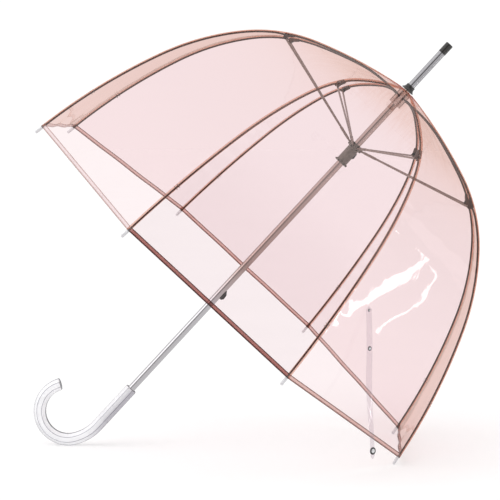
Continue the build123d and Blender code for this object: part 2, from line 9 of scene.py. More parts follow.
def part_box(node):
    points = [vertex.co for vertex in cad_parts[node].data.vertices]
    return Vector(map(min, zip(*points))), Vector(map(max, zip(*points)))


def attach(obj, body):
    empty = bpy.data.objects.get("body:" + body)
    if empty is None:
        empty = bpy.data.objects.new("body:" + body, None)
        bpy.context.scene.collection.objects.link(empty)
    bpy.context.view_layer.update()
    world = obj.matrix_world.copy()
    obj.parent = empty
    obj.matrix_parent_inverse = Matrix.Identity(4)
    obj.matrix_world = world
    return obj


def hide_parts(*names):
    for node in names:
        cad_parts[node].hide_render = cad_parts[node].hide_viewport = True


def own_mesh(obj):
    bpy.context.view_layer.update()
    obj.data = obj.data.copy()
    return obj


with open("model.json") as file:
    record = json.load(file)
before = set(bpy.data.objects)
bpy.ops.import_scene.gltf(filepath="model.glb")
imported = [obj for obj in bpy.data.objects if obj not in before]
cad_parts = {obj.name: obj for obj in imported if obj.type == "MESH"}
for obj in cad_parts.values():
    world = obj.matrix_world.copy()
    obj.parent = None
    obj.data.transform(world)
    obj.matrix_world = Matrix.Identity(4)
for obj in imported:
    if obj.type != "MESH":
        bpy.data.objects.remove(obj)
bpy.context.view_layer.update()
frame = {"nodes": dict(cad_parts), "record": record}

# Clear dome umbrella. Local places are in millimetres about the shaft: x towards the floor side,
# z along the shaft to the ferrule. place() turns them into the frame, in metres.
MM = 0.001
RIB_COUNT = 8
PANEL_ANGLE = 360 / RIB_COUNT
HALF_PANEL = PANEL_ANGLE / 2
SHRINK = cos(radians(HALF_PANEL))

# The dome's outline in a rib's plane, the same tangent arcs as the CAD model's: radius and turn in
# degrees of each, from the crown to the rim. A slope is measured down from level.
APEX_Z = 336
APEX_SLOPE = 7.4
DOME_RADII = [(820, 12.2), (261, 11.4), (261, 16.2), (392, 19.1), (903, 13.7)]
CENTRE_SLOPE = APEX_SLOPE + 0.9
JOINT_SLOPE = 31.0
RIM_SLOPE = 80.0
FILM = 0.4
CENTRE_FILM_RADIUS = 15.2
CENTRE_HOLE_RADIUS = 6.6

# Where the ferrule's mount lies on the shaft.
FERRULE_MOUNT_Z = 425.75


def shaft_frame():
    """Origin of the local places, and the directions of local x and z, from the ferrule's mount."""
    mount = next(m for m in frame["record"]["mounts"] if m["name"] == "ferrule_tip")
    along = Vector(mount["axis"]).normalized()
    origin = Vector(mount["pos_m"]) - FERRULE_MOUNT_Z * MM * along
    return origin, Vector((along.z, 0, -along.x)), along


ORIGIN, ACROSS, ALONG = shaft_frame()
SIDE = Vector((0, 1, 0))


def place(x, y, z):
    return ORIGIN + MM * (x * ACROSS + y * SIDE + z * ALONG)


def rib_angle(number):
    return HALF_PANEL + PANEL_ANGLE * (number - 1)


def panel_angle(number):
    return PANEL_ANGLE * (number - 1)


# ---------------------------------------------------------------- dome shape


def arc_table():
    """Centre, radius and last slope of each arc of the dome's outline."""
    start = (0, APEX_Z)
    slope = APEX_SLOPE
    table = []
    for radius, turn in DOME_RADII:
        centre = (start[0] - radius * sin(radians(slope)), start[1] - radius * cos(radians(slope)))
        slope_end = slope + turn
        table.append((centre, radius, slope_end))
        end = radians(slope_end)
        start = (centre[0] + radius * sin(end), centre[1] + radius * cos(end))
        slope = slope_end
    return table


DOME_ARCS = arc_table()


def dome_point(slope, depth=0):
    """Distance from the shaft and height, in a rib's plane, a depth inside the film."""
    for centre, radius, slope_end in DOME_ARCS:
        if slope <= slope_end + 1e-9:
            break
    reach = radius - depth
    angle = radians(slope)
    return centre[0] + reach * sin(angle), centre[1] + reach * cos(angle)


def arc_length(slope_from, slope_to):
    """Length of the dome's outline between two slopes."""
    total = 0
    begin = APEX_SLOPE
    for radius, turn in DOME_RADII:
        first = max(slope_from, begin)
        last = min(slope_to, begin + turn)
        if last > first:
            total += radius * radians(last - first)
        begin += turn
    return total


FULL_LENGTH = arc_length(APEX_SLOPE, RIM_SLOPE)


# How far the film's folds stand out.
GATHER = 0.9
FINE_GATHER = 0.34
PUCKER = 0.42
SLACK = 1.6
WAVE = 0.22
DIAGONAL = 0.03
HEM_WAVE = 1.2
# Lengths over which the folds fade away, and along which they repeat.
GATHER_FADE = 70
FINE_GATHER_FADE = 60
PUCKER_FADE = 14
PUCKER_START = 3
HEM_FADE = 38
PUCKER_LENGTHS = (31, 17.5)
WAVE_LENGTH = 190
DIAGONAL_LENGTH = 46


def film_ripple(number, slope, t):
    """How far the film stands out of its even curve: gathers at the crown, puckers beside the
    welded seams and loose waves at the hem. t runs from -1 to 1 between the two ribs."""
    u = arc_length(APEX_SLOPE, slope)
    half = dome_point(slope)[0] * sin(radians(HALF_PANEL))
    to_rib = (1 - abs(t)) * half
    to_hem = FULL_LENGTH - u
    held = 1 - t * t
    phase = 1.7 * number
    crown = GATHER * exp(-u / GATHER_FADE) * sin(4.5 * pi * t + phase) * held
    crown += FINE_GATHER * exp(-u / FINE_GATHER_FADE) * sin(7 * pi * t + 2.1 * phase) * held
    pucker = PUCKER * exp(-to_rib / PUCKER_FADE) * (1 - exp(-to_rib / PUCKER_START))
    long_pucker, short_pucker = (2 * pi * u / length for length in PUCKER_LENGTHS)
    pucker *= sin(long_pucker + phase) + 0.6 * sin(short_pucker + 2.3 * phase)
    slack = -SLACK * held * sin(pi * min(1, u / FULL_LENGTH))
    wave = WAVE * held * sin(2 * pi * u / WAVE_LENGTH + phase) * sin(2.2 * t + phase)
    diagonal = DIAGONAL * held * sin(2 * pi * (u + 0.8 * t * half) / DIAGONAL_LENGTH + 2 * phase)
    hem = HEM_WAVE * held * exp(-to_hem / HEM_FADE) * sin(2.6 * pi * t + 0.9 * phase)
    return crown + pucker + slack + wave + diagonal + hem


def film_local(number, slope, t, lift=0.0):
    """Point of the film between two ribs, in local millimetres, lifted off its middle surface."""
    r, z = dome_point(slope)
    angle = radians(slope)
    normal = (sin(angle), SHRINK * cos(angle))
    length = hypot(*normal)
    out = film_ripple(number, slope, t) + lift - FILM / 2
    rho = SHRINK * r + out * normal[0] / length
    height = z + out * normal[1] / length
    sideways = t * r * sin(radians(HALF_PANEL))
    a = radians(panel_angle(number))
    return (rho * cos(a) - sideways * sin(a), rho * sin(a) + sideways * cos(a), height)


def film_point(number, slope, t):
    return place(*film_local(number, slope, t))


def film_normal(number, slope, t):
    """Outward normal of the film, from a short step down it and one across it."""
    step = 0.05
    side_step = 0.01
    upper = min(RIM_SLOPE - step, max(CENTRE_SLOPE, slope))
    left = max(-1, min(1, t - side_step))
    right = max(-1, min(1, t + side_step))
    down = film_point(number, upper + step, t) - film_point(number, upper, t)
    across = film_point(number, slope, right) - film_point(number, slope, left)
    return down.cross(across).normalized()


# ---------------------------------------------------------------- mesh helpers


def new_object(name, verts, faces, material, smooth=True):
    mesh = bpy.data.meshes.new(name)
    mesh.from_pydata([tuple(v) for v in verts], [], faces)
    mesh.update()
    if smooth:
        mesh.polygons.foreach_set("use_smooth", [True] * len(mesh.polygons))
    mesh.materials.append(material)
    piece = bpy.data.objects.new(name, mesh)
    bpy.context.scene.collection.objects.link(piece)
    return piece


def grid_faces(rows, columns, around=False):
    """Quads of a grid of points, closed across its columns if around."""
    faces = []
    last = columns if around else columns - 1
    for i in range(rows - 1):
        for j in range(last):
            k = (j + 1) % columns
            row, below = i * columns, (i + 1) * columns
            faces.append((row + j, below + j, below + k, row + k))
    return faces


def tube_mesh(name, rings, material):
    """Closed skin over a list of rings, each with the same number of points."""
    count = len(rings[0])
    verts = [p for ring in rings for p in ring]
    faces = grid_faces(len(rings), count, around=True)
    faces.append(tuple(reversed(range(count))))
    faces.append(tuple(range((len(rings) - 1) * count, len(rings) * count)))
    piece = new_object(name, verts, faces, material)
    tidy_normals(piece)
    return piece


def tidy_normals(piece):
    """Turns every face outwards."""
    work = bmesh.new()
    work.from_mesh(piece.data)
    bmesh.ops.recalc_face_normals(work, faces=work.faces)
    work.to_mesh(piece.data)
    work.free()


def soften(piece, angle=40):
    """Smooth shading with sharp edges kept."""
    piece.data.polygons.foreach_set("use_smooth", [True] * len(piece.data.polygons))
    piece.data.set_sharp_from_angle(angle=radians(angle))


# ---------------------------------------------------------------- materials


WHITE = (1, 1, 1, 1)
GRAIN_DEPTH = 0.0002


class Shader:
    """A material's node tree, with short calls to add and join nodes."""

    def __init__(self, name):
        self.material = bpy.data.materials.new(name)
        self.material.use_nodes = True
        self.nodes = self.material.node_tree.nodes
        self.links = self.material.node_tree.links
        self.nodes.clear()
        self.output = self.nodes.new("ShaderNodeOutputMaterial")

    def add(self, kind, **values):
        node = self.nodes.new(kind)
        for key, value in values.items():
            if key in node.inputs:
                node.inputs[key].default_value = value
            else:
                setattr(node, key, value)
        return node

    def join(self, source, target):
        self.links.new(source, target)

    def noise(self, scale, detail=3.0, stretch=(1, 1, 1), uv=False):
        where = self.add("ShaderNodeTexCoord")
        mapping = self.add("ShaderNodeMapping")
        mapping.inputs["Scale"].default_value = stretch
        self.join(where.outputs["UV" if uv else "Object"], mapping.inputs["Vector"])
        texture = self.add("ShaderNodeTexNoise", Scale=scale, Detail=detail)
        self.join(mapping.outputs["Vector"], texture.inputs["Vector"])
        return texture.outputs["Fac"]

    def ramp(self, value, stops):
        ramp = self.add("ShaderNodeValToRGB")
        elements = ramp.color_ramp.elements
        while len(elements) < len(stops):
            elements.new(0.5)
        for element, (position, colour) in zip(elements, stops):
            element.position = position
            element.color = (*colour, 1) if len(colour) == 3 else colour
        self.join(value, ramp.inputs["Fac"])
        return ramp.outputs["Color"]

    def span(self, value, low, high):
        """Maps 0..1 to low..high."""
        node = self.add("ShaderNodeMapRange")
        node.inputs["To Min"].default_value = low
        node.inputs["To Max"].default_value = high
        self.join(value, node.inputs["Value"])
        return node.outputs["Result"]

    def share(self, value, first, last):
        """Nought at the first value, one at the last."""
        node = self.add("ShaderNodeMapRange")
        node.inputs["From Min"].default_value = first
        node.inputs["From Max"].default_value = last
        self.join(value, node.inputs["Value"])
        return node.outputs["Result"]

    def power(self, value, exponent):
        node = self.add("ShaderNodeMath", operation="POWER")
        node.inputs[1].default_value = exponent
        self.join(value, node.inputs[0])
        return node.outputs[0]

    def uv_parts(self):
        """The piece's UV coordinates, apart."""
        where = self.add("ShaderNodeTexCoord")
        split = self.add("ShaderNodeSeparateXYZ")
        self.join(where.outputs["UV"], split.inputs[0])
        return split.outputs["X"], split.outputs["Y"]

    def mixed(self, first, second, share):
        """Second value in place of the first, by a share."""
        node = self.add("ShaderNodeMix")
        self.join(share, node.inputs["Factor"])
        self.join(first, node.inputs["A"])
        self.join(second, node.inputs["B"])
        return node.outputs["Result"]

    def product(self, first, second):
        """One colour times another."""
        node = self.add("ShaderNodeMix", data_type="RGBA", blend_type="MULTIPLY")
        node.inputs["Factor"].default_value = 1.0
        self.join(first, node.inputs["A"])
        self.join(second, node.inputs["B"])
        return node.outputs["Result"]

    def near_crown(self, full, none):
        """One within a distance of the crown, falling to nothing at a greater one, in metres."""
        return self.share(self.uv_parts()[0], none, full)

    def bump(self, height, strength, distance):
        node = self.add("ShaderNodeBump", Strength=strength, Distance=distance)
        self.join(height, node.inputs["Height"])
        return node.outputs["Normal"]

    def add_grain(self, body, grain, low, high, relief):
        """Roughness between two values, and a fine relief."""
        self.join(self.span(grain, low, high), body.inputs["Roughness"])
        self.join(self.bump(grain, relief, GRAIN_DEPTH), body.inputs["Normal"])

    def show(self, shader):
        """Makes a shader the material's surface."""
        self.join(shader.outputs[0], self.output.inputs["Surface"])
        return self.material

    def show_mixed(self, share, first, second):
        """Makes the surface the first shader, with the second in its place by a share."""
        mix = self.add("ShaderNodeMixShader")
        self.join(share, mix.inputs[0])
        self.join(first.outputs[0], mix.inputs[1])
        self.join(second.outputs[0], mix.inputs[2])
        return self.show(mix)


def clear_and_shine(s, tint, roughness):
    """The two shaders of a clear sheet: what is seen through it, and what it mirrors."""
    clear = s.add("ShaderNodeBsdfTransparent")
    s.join(tint, clear.inputs["Color"])
    shine = s.add("ShaderNodeBsdfGlossy", Roughness=roughness)
    shine.inputs["Color"].default_value = WHITE
    return clear, shine


def film_material(name, face, edge, gloss=1.0, ripple=0.1, power=3.2):
    """Clear tinted sheet: what lies behind it shows through, darker where it is seen edge on. Fine
    creases run out from the crown, in the bump and as painted highlight streaks in the tint. UV x is
    the distance from the crown, UV y runs across."""
    s = Shader(name)
    weight = s.add("ShaderNodeLayerWeight", Blend=0.5)
    tint = s.ramp(s.power(weight.outputs["Facing"], power), [(0.0, face), (1.0, edge)])
    soft = s.noise(38, 3.0, (0.35, 1.0, 1.0), uv=True)
    fine = s.noise(210, 2.0, (0.07, 1.0, 1.0), uv=True)
    # Painted highlights: near the crown the tint takes pale radial streaks along the fine creases, on
    # a warmer tint between them.
    painted_crease_streaks = s.add("ShaderNodeMix", data_type="RGBA")
    painted_crease_streaks.inputs["A"].default_value = WHITE
    s.join(s.near_crown(0.04, 0.27), painted_crease_streaks.inputs["Factor"])
    s.join(s.ramp(fine, [(0.36, (0.95, 0.885, 0.86)), (0.54, (1, 1, 1))]), painted_crease_streaks.inputs["B"])
    clear, shine = clear_and_shine(s, s.product(tint, painted_crease_streaks.outputs["Result"]), 0.02)
    relief = s.mixed(s.span(soft, 0.0, ripple), fine, s.near_crown(0.02, 0.24))
    normal = s.bump(relief, 0.4, 0.0012)
    s.join(normal, shine.inputs["Normal"])
    tilt = s.add("ShaderNodeLayerWeight", Blend=0.5)
    s.join(normal, tilt.inputs["Normal"])
    grazing = s.power(tilt.outputs["Facing"], 5.0)
    return s.show_mixed(s.span(grazing, 0.065 * gloss, 0.42), clear, shine)


def hem_material(name, face, line):
    """Clear hem with a dark line along its weld and along its fold. UV x runs across the hem."""
    s = Shader(name)
    stops = [(0.0, line), (0.12, line), (0.26, face), (0.62, face), (0.8, line), (1.0, line)]
    clear, shine = clear_and_shine(s, s.ramp(s.uv_parts()[0], stops), 0.08)
    weight = s.add("ShaderNodeLayerWeight", Blend=0.5)
    return s.show_mixed(s.span(weight.outputs["Facing"], 0.06, 0.3), clear, shine)


def metal_material(name, low, high, roughness):
    """Metal with fine marks and slightly uneven polish."""
    s = Shader(name)
    body = s.add("ShaderNodeBsdfPrincipled", Metallic=1.0)
    grain = s.noise(400, 4.0)
    s.join(s.ramp(grain, [(0.3, low), (0.7, high)]), body.inputs["Base Color"])
    s.add_grain(body, grain, roughness * 0.7, roughness * 1.4, 0.08)
    return s.show(body)


def shaft_material(name):
    """Drawn aluminium: neutral by the handle, with a warmer tint under the canopy that is a painted
    reflection of it.
    """
    s = Shader(name)
    body = s.add("ShaderNodeBsdfPrincipled", Metallic=1.0)
    where = s.add("ShaderNodeTexCoord")
    along = s.add("ShaderNodeVectorMath", operation="DOT_PRODUCT")
    s.join(where.outputs["Object"], along.inputs[0])
    along.inputs[1].default_value = tuple(ALONG)
    middle = ORIGIN.dot(ALONG)
    canopy_reflection_share = s.share(along.outputs["Value"], middle - 0.13, middle - 0.05)
    # Painted reflection: the tint turns warmer under the canopy, as the metal would mirror it.
    tint = s.ramp(canopy_reflection_share, [(0.0, (0.63, 0.61, 0.63)), (1.0, (0.56, 0.46, 0.42))])
    s.join(tint, body.inputs["Base Color"])
    s.add_grain(body, s.noise(400, 4.0), 0.09, 0.18, 0.08)
    return s.show(body)


def plastic_material(name, low, high, roughness, scale=180, coat=0.0):
    """Moulded plastic with a fine uneven surface."""
    s = Shader(name)
    body = s.add("ShaderNodeBsdfPrincipled")
    body.inputs["Coat Weight"].default_value = coat
    body.inputs["Coat Roughness"].default_value = 0.05
    grain = s.noise(scale, 5.0)
    s.join(s.ramp(grain, [(0.3, low), (0.7, high)]), body.inputs["Base Color"])
    s.add_grain(body, grain, roughness * 0.8, roughness * 1.3, 0.1)
    return s.show(body)


def tube_shade(s, facets, along):
    """Painted grey band on the facets of one side of the bar's straight part: the metal tube inside,
    as seen through the clear bar.
    """
    grey = (0.56, 0.55, 0.59)
    pale = (1, 1, 1)
    stops = [(0.0, grey), (0.16, grey), (0.26, pale), (0.7, pale), (0.76, grey), (1.0, grey)]
    node = s.add("ShaderNodeMix", data_type="RGBA")
    s.join(s.share(along, 0.012, 0.04), node.inputs["Factor"])
    s.join(s.ramp(s.share(facets, 0.0, 9.0), stops), node.inputs["A"])
    node.inputs["B"].default_value = WHITE
    return node.outputs["Result"]


def acrylic_material(name):
    """Clear cast plastic bar. Every facet is painted from white to lavender grey between dark edge
    lines, painted reflections of its inner faces in one another, with a faint painted glow and a dark
    outline painted where the bar is seen edge on. UV x counts the facets, UV y runs along the bar."""
    s = Shader(name)
    facets, along = s.uv_parts()
    flow = s.noise(14, 3.0, (0.15, 9.0, 1.0), uv=True)
    wobble = s.add("ShaderNodeMath", operation="MULTIPLY_ADD")
    wobble.inputs[1].default_value = 0.12
    s.join(flow, wobble.inputs[0])
    s.join(facets, wobble.inputs[2])
    facet = s.add("ShaderNodeMath", operation="FRACT")
    s.join(wobble.outputs[0], facet.inputs[0])
    # Painted reflections: each facet runs from a dark edge line through white to lavender grey.
    stops = [
        (0.0, (0.05, 0.05, 0.06)),
        (0.07, (0.3, 0.3, 0.34)),
        (0.18, (0.72, 0.71, 0.77)),
        (0.32, (1.0, 1.0, 1.0)),
        (0.6, (0.97, 0.97, 0.99)),
        (0.82, (0.6, 0.59, 0.66)),
        (0.94, (0.25, 0.25, 0.28)),
        (1.0, (0.05, 0.05, 0.06)),
    ]
    body = s.add("ShaderNodeBsdfPrincipled", IOR=1.49, Roughness=0.06)
    body.inputs["Transmission Weight"].default_value = 0.3
    body.inputs["Coat Weight"].default_value = 0.6
    tint = s.product(s.ramp(facet.outputs[0], stops), tube_shade(s, facets, along))
    s.join(tint, body.inputs["Base Color"])
    # Painted glow: the bar gives off a little light in its painted facet colours.
    s.join(tint, body.inputs["Emission Color"])
    body.inputs["Emission Strength"].default_value = 0.12
    s.join(s.bump(flow, 0.06, 0.002), body.inputs["Normal"])
    # Painted shade: a dark outline where the bar is seen edge on.
    rim = s.add("ShaderNodeBsdfPrincipled", Roughness=0.2)
    rim.inputs["Base Color"].default_value = (0.12, 0.12, 0.14, 1)
    weight = s.add("ShaderNodeLayerWeight", Blend=0.5)
    painted_dark_outline = s.ramp(weight.outputs["Facing"], [(0.4, (0, 0, 0)), (0.8, (1, 1, 1))])
    return s.show_mixed(painted_dark_outline, body, rim)


FILM_FACE = (0.95, 0.855, 0.866)
FILM_EDGE = (0.87, 0.62, 0.51)
materials = {
    "film": film_material("clear_film", FILM_FACE, FILM_EDGE),
    "seam": film_material("welded_seam", (0.95, 0.80, 0.73), (0.80, 0.50, 0.38), 1.2, 0.1, 1.6),
    # Three tints of one hem film; the differences between them are painted light and shade.
    "hem_pale": hem_material("hem_pale", (0.96, 0.91, 0.91), (0.74, 0.62, 0.6)),
    "hem_mid": hem_material("hem_rosy", (0.88, 0.73, 0.69), (0.42, 0.23, 0.19)),
    "hem_deep": hem_material("hem_deep", (0.66, 0.44, 0.41), (0.26, 0.11, 0.1)),
    "strap": film_material("strap_film", (0.955, 0.945, 0.965), (0.8, 0.78, 0.82), 1.2, 0.2, 1.6),
    "tip": plastic_material("clear_tip", (0.66, 0.65, 0.67), (0.76, 0.75, 0.77), 0.15, coat=0.6),
    "handle": acrylic_material("clear_acrylic"),
    "rib": metal_material("dark_rib", (0.07, 0.036, 0.025), (0.13, 0.07, 0.05), 0.16),
    "stretcher": plastic_material(
        "stretcher_coat", (0.21, 0.15, 0.125), (0.31, 0.235, 0.2), 0.25, coat=0.6
    ),
    "shaft": shaft_material("satin_shaft"),
    "ferrule": metal_material("polished_ferrule", (0.42, 0.41, 0.43), (0.52, 0.51, 0.53), 0.09),
    "black": plastic_material(
        "black_plastic", (0.012, 0.011, 0.01), (0.025, 0.022, 0.02), 0.28, coat=0.5
    ),
    "crown": plastic_material("crown_plastic", (0.62, 0.51, 0.46), (0.72, 0.6, 0.55), 0.35),
    "runner": plastic_material(
        "runner_plastic", (0.13, 0.11, 0.09), (0.19, 0.165, 0.14), 0.35, coat=0.25
    ),
    "catch": metal_material("spring_steel", (0.1, 0.1, 0.1), (0.2, 0.19, 0.19), 0.3),
    "snap_white": plastic_material("snap_white", (0.78, 0.78, 0.8), (0.88, 0.88, 0.9), 0.2, coat=0.5),
    "snap_dark": plastic_material("snap_dark", (0.02, 0.02, 0.02), (0.05, 0.05, 0.05), 0.3),
    "tie": plastic_material("tie_thread", (0.2, 0.16, 0.15), (0.34, 0.28, 0.26), 0.5, scale=900),
}


def paint(node, material):
    """Gives a CAD node that keeps its shape one of the materials above."""
    piece = frame["nodes"][node]
    piece.data.materials.clear()
    piece.data.materials.append(materials[material])
    piece.data.set_sharp_from_angle(angle=radians(35))


for number in range(1, RIB_COUNT + 1):
    paint(f"rib_upper_{number}", "rib")
    paint(f"rib_lower_{number}", "rib")
    paint(f"rib_tip_{number}", "tip")
    paint(f"stretcher_{number}", "stretcher")
for node, material in {
    "shaft_tube": "shaft",
    "ferrule": "ferrule",
    "ferrule_cap": "black",
    "canopy_cap": "black",
    "crown": "crown",
    "runner": "runner",
    "top_catch": "catch",
    "bottom_catch": "catch",
}.items():
    paint(node, material)


# ---------------------------------------------------------------- film


def film_piece(name, number, slope_from, slope_to, rows, columns):
    """One half of a gore as a fine grid, with even normals across its split and a UV map in metres."""
    slopes = [slope_from + (slope_to - slope_from) * i / (rows - 1) for i in range(rows)]
    sides = [-1 + 2 * j / (columns - 1) for j in range(columns)]
    verts = [film_point(number, slope, t) for slope in slopes for t in sides]
    piece = new_object(name, verts, grid_faces(rows, columns), materials["film"])
    layer = piece.data.uv_layers.new(name="film")
    places = []
    for slope in slopes:
        u = arc_length(APEX_SLOPE, slope) * MM
        half = dome_point(slope)[0] * sin(radians(HALF_PANEL)) * MM
        places += [(u, t * half + number) for t in sides]
    for loop in piece.data.loops:
        layer.data[loop.index].uv = places[loop.vertex_index]
    normals = [film_normal(number, slope, t) for slope in slopes for t in sides]
    piece.data.normals_split_custom_set_from_vertices([tuple(n) for n in normals])
    return piece


def fold_with_ribs(piece):
    """Gives a piece of a gore its own copy of its mesh."""
    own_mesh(piece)


# The hem's upper outline: places across it, from its inner edge to beyond the rim, and heights.
HEM_OUTLINE = [(-6.2, 0.3), (-5.4, 0.55), (-2.0, 0.6), (-0.9, 0.95), (0.2, 0.95), (0.8, 0.4)]
HEM_WIDTH = HEM_OUTLINE[-1][0] - HEM_OUTLINE[0][0]
# Single hems tinted apart from the rest, to how they look from the camera's side: the paler and deeper
# tints are painted light and shade on one hem film.
HEM_COLOURS = {7: "hem_deep", 6: "hem_pale", 5: "hem_pale"}


def hem_piece(number):
    """Folded and welded edge of the film, with a round bead along the fold."""
    section = HEM_OUTLINE + [(u, -w) for u, w in reversed(HEM_OUTLINE)]
    a = radians(panel_angle(number))
    angle = radians(RIM_SLOPE)
    down = Vector((SHRINK * cos(angle), -sin(angle))).normalized()
    rings = []
    count = 49
    for i in range(count):
        t = -1 + 2 * i / (count - 1)
        ring = []
        for u, w in section:
            slope = RIM_SLOPE + degrees(min(0, u) / DOME_RADII[-1][0])
            x, y, z = film_local(number, slope, t, w)
            beyond = max(0, u) * down
            ring.append(place(x + beyond.x * cos(a), y + beyond.x * sin(a), z + beyond.y))
        rings.append(ring)
    piece = tube_mesh(f"hem_{number}", rings, materials[HEM_COLOURS.get(number, "hem_mid")])
    layer = piece.data.uv_layers.new(name="hem")
    for loop in piece.data.loops:
        row, column = divmod(loop.vertex_index, len(section))
        across = (section[column][0] - HEM_OUTLINE[0][0]) / HEM_WIDTH
        layer.data[loop.index].uv = (across, row * 0.006)
    return piece


SEAM_HALF_WIDTH = 3.0


def seam_piece(name, number, slope_from, slope_to, rows):
    """Welded overlap of two gores along a rib, bent over the ridge between them."""
    section = [(-1, 0.25), (-0.8, 0.62), (-0.4, 0.72), (0, 0.78), (0.4, 0.72), (0.8, 0.62), (1, 0.25)]
    section += [(0.8, -0.3), (0.4, -0.34), (0, -0.36), (-0.4, -0.34), (-0.8, -0.3)]
    a = radians(rib_angle(number))
    rings = []
    for i in range(rows):
        slope = slope_from + (slope_to - slope_from) * i / (rows - 1)
        angle = radians(slope)
        fall = sin(angle) * sin(radians(HALF_PANEL)) / SHRINK
        narrow = min(1, 0.35 + arc_length(APEX_SLOPE, slope) / 60)
        ring = []
        for v, w in section:
            sideways = v * SEAM_HALF_WIDTH * narrow
            drop = fall * (sqrt(sideways * sideways + 0.16) - 0.4)
            r, z = dome_point(slope, FILM / 2 - w + drop)
            ring.append(place(r * cos(a) - sideways * sin(a), r * sin(a) + sideways * cos(a), z))
        rings.append(ring)
    return tube_mesh(name, rings, materials["seam"])


# Loops of plastic thread round a lower rib: slope, half distance between them, depth of their
# middle below the film, reach sideways and outwards, and the thread's radius.
TIE_SLOPE = 74.0
TIE_OFFSET = 2.4
TIE_DEPTH = 2.4
TIE_REACH = 3.4
TIE_RISE = 3.1
TIE_THREAD = 0.32


def rim_tie(number):
    """Two small loops of plastic thread that hold the film to a rib."""
    a = radians(rib_angle(number))
    side = Vector((-sin(a), cos(a), 0))
    verts = []
    faces = []
    for offset in (-TIE_OFFSET, TIE_OFFSET):
        slope = TIE_SLOPE + degrees(offset / DOME_RADII[-1][0])
        angle = radians(slope)
        r, z = dome_point(slope, TIE_DEPTH)
        centre = Vector((r * cos(a), r * sin(a), z))
        out = Vector((sin(angle) * cos(a), sin(angle) * sin(a), cos(angle)))
        along = Vector((cos(angle) * cos(a), cos(angle) * sin(a), -sin(angle)))
        start = len(verts)
        big, small = 20, 8
        for i in range(big):
            p = 2 * pi * i / big
            arm = cos(p) * side * TIE_REACH + sin(p) * out * TIE_RISE
            radial = arm.normalized()
            for j in range(small):
                q = 2 * pi * j / small
                verts.append(place(*(centre + arm + TIE_THREAD * (cos(q) * radial + sin(q) * along))))
        for i in range(big):
            for j in range(small):
                k = (i + 1) % big
                m = (j + 1) % small
                corners = ((i, j), (i, m), (k, m), (k, j))
                faces.append([start + row * small + column for row, column in corners])
    piece = new_object(f"rim_tie_{number}", verts, faces, materials["tie"])
    tidy_normals(piece)
    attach(piece, f"rib_lower_{number}")


GORE_HALVES = (
    ("upper", CENTRE_SLOPE, JOINT_SLOPE, ((45, 57))),
    ("lower", JOINT_SLOPE, RIM_SLOPE, ((81, 65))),
)


def make_gore(number):
    """The two halves of one gore, with the hem on the lower one."""
    for half, first, last, grid in GORE_HALVES:
        gore = film_piece(f"film_{half}_{number}", number, first, last, *grid)
        body = f"panel_{half}_{number}"
        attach(gore, body)
        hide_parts(body)
        fold_with_ribs(gore)
        if half == "lower":
            hem = hem_piece(number)
            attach(hem, body)
            fold_with_ribs(hem)


def make_seams(number):
    """The weld along one rib, in two parts that follow the rib's two halves."""
    for half, first, last, rows in (
        ("upper", CENTRE_SLOPE, JOINT_SLOPE, 40),
        ("lower", JOINT_SLOPE, RIM_SLOPE, 70),
    ):
        seam = seam_piece(f"seam_{half}_{number}", number, first, last, rows)
        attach(seam, f"rib_{half}_{number}")


for number in range(1, RIB_COUNT + 1):
    make_gore(number)
    make_seams(number)
    rim_tie(number)


def centre_film():
    """Disc of film between crown and cap, gathered into small folds."""
    rows, columns = 9, 96
    verts = []
    for i in range(rows):
        f = i / (rows - 1)
        radius = CENTRE_HOLE_RADIUS + (CENTRE_FILM_RADIUS - CENTRE_HOLE_RADIUS) * f
        level = APEX_Z - radius * sin(radians(APEX_SLOPE + 0.5)) - FILM / 2
        for j in range(columns):
            a = 2 * pi * j / columns
            fold = 0.35 * sin(RIB_COUNT * 2 * a) * f**2
            verts.append(place(radius * cos(a), radius * sin(a), level + fold))
    piece = new_object("film_centre", verts, grid_faces(rows, columns, around=True), materials["film"])
    tidy_normals(piece)
    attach(piece, "shaft")
    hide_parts("canopy_center")


centre_film()


# ---------------------------------------------------------------- handle

# The bar runs straight from its top, eases outwards and then sweeps round into the hook.
HANDLE_TOP = -322
SHAFT_BOTTOM = -392
HANDLE_BEND_Z = -404.5
EASE_RADIUS = 75
EASE_TURN = 34.5
HOOK_RADIUS = 46
HOOK_SWEEP = 213
HANDLE_HALF = 9.75
HANDLE_ROUND = 2.4
HANDLE_EDGE = 1.2
BORE_RADIUS = 6.03


SIDES = 8
SIDE_ANGLE = 360 / SIDES
CORNER_POINTS = 8


def handle_section(inset):
    """Eight-sided outline with rounded corners: offsets in the hook's plane and across it."""
    corner = (HANDLE_HALF - inset - HANDLE_ROUND) / cos(radians(SIDE_ANGLE / 2))
    outline = []
    for k in range(SIDES):
        middle = SIDE_ANGLE * (k + 0.5)
        for j in range(CORNER_POINTS):
            a = radians(middle + SIDE_ANGLE * (j / (CORNER_POINTS - 1) - 0.5))
            outline.append((
                corner * cos(radians(middle)) + HANDLE_ROUND * cos(a),
                corner * sin(radians(middle)) + HANDLE_ROUND * sin(a),
            ))
    return outline


def bore_section():
    """As many points as the outline has, on the circle of the bore."""
    count = SIDES * CORNER_POINTS
    angles = [2 * pi * i / count for i in range(count)]
    return [(BORE_RADIUS * cos(a), BORE_RADIUS * sin(a)) for a in angles]


